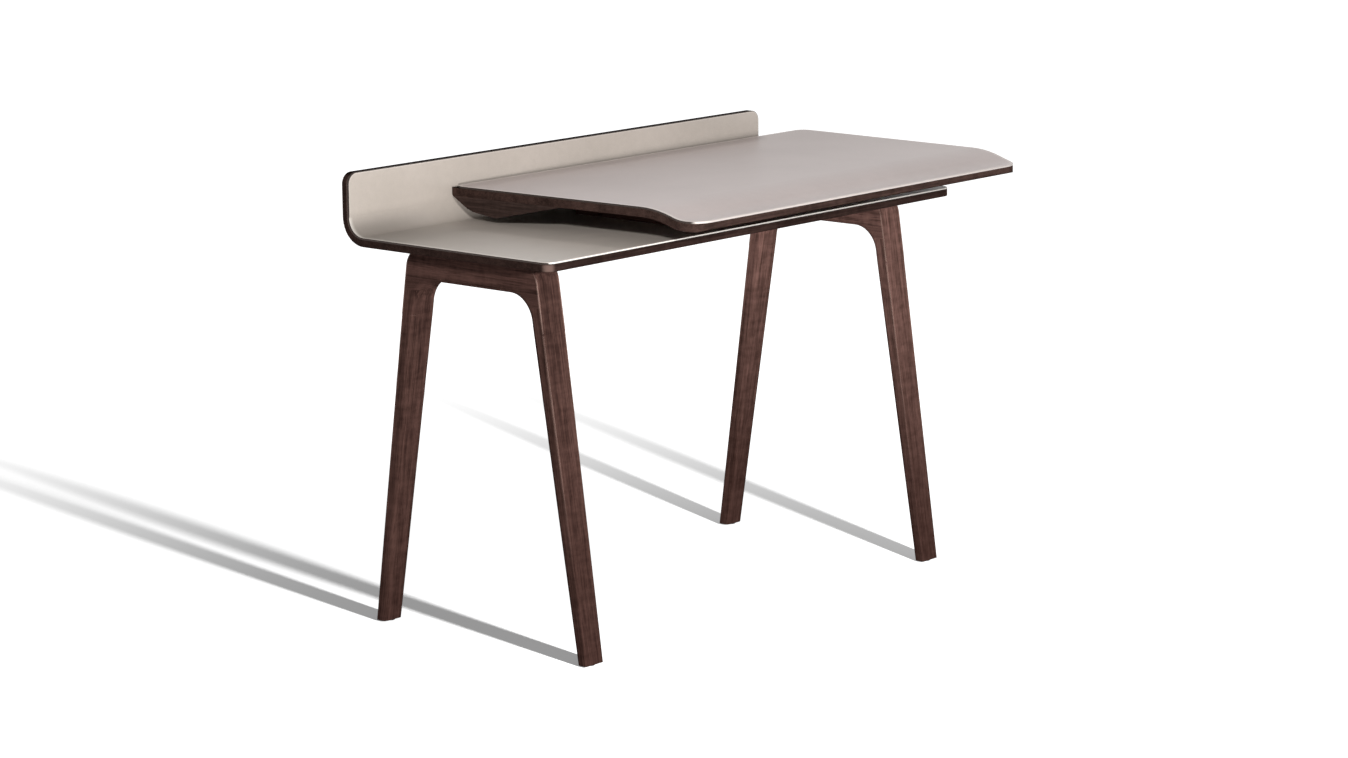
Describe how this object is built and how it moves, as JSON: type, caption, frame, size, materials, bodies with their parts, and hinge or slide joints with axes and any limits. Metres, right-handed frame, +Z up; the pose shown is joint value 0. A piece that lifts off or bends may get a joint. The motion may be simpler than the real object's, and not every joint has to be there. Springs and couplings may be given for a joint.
{
  "type": "writing desk with sliding top",
  "caption": "Wooden writing desk with splayed legs, a leather-lined tray with a turned-up back and a raised leather top that slides sideways over a storage pocket.",
  "frame": {"origin": "on the floor, at the middle of the desk's outer box with the top slid to the right", "axes": "+X along the desk's length to the sitter's right, +Y to the back, +Z up"},
  "size_m": [1.2136, 0.5682, 0.8],
  "materials": {
    "dark_wood": "satin",
    "greige_leather": "matt",
    "steel": "brushed",
    "slide_plastic": "matt",
    "buffer_rubber": "matt"
  },
  "bodies": {
    "desk": {"tray_shell": "dark_wood", "left_rail": "dark_wood", "right_rail": "dark_wood", "front_left_leg": "dark_wood", "back_left_leg": "dark_wood", "front_right_leg": "dark_wood", "back_right_leg": "dark_wood", "leg_tenons": "dark_wood", "stretcher_dowels": "dark_wood", "front_stretcher": "dark_wood", "back_stretcher": "dark_wood", "left_bearer": "dark_wood", "right_bearer": "dark_wood", "tray_leather": "greige_leather", "rail_screws": "steel", "stretcher_screws": "steel", "bearer_screws": "steel", "keeper_plates": "steel", "keeper_screws": "steel", "slide_pads": "slide_plastic", "side_guides": "slide_plastic", "foot_glides": "slide_plastic"},
    "sliding_top": {"top_panel": "dark_wood", "top_leather": "greige_leather", "rear_shell": "dark_wood", "left_shell_cheek": "dark_wood", "right_shell_cheek": "dark_wood", "shell_cleat": "dark_wood", "cleat_screws": "steel", "front_guide_bar": "steel", "rear_guide_bar": "steel", "front_bar_spacer": "dark_wood", "rear_bar_spacer": "dark_wood", "bar_screws": "steel", "travel_stops": "dark_wood", "stop_buffers": "buffer_rubber", "stop_screws": "steel"}
  },
  "joints": [
    {"name": "top_slide", "type": "slide", "parent": "desk", "child": "sliding_top", "axis": [1, 0, 0], "range_m": [-0.356, 0]}
  ]
}
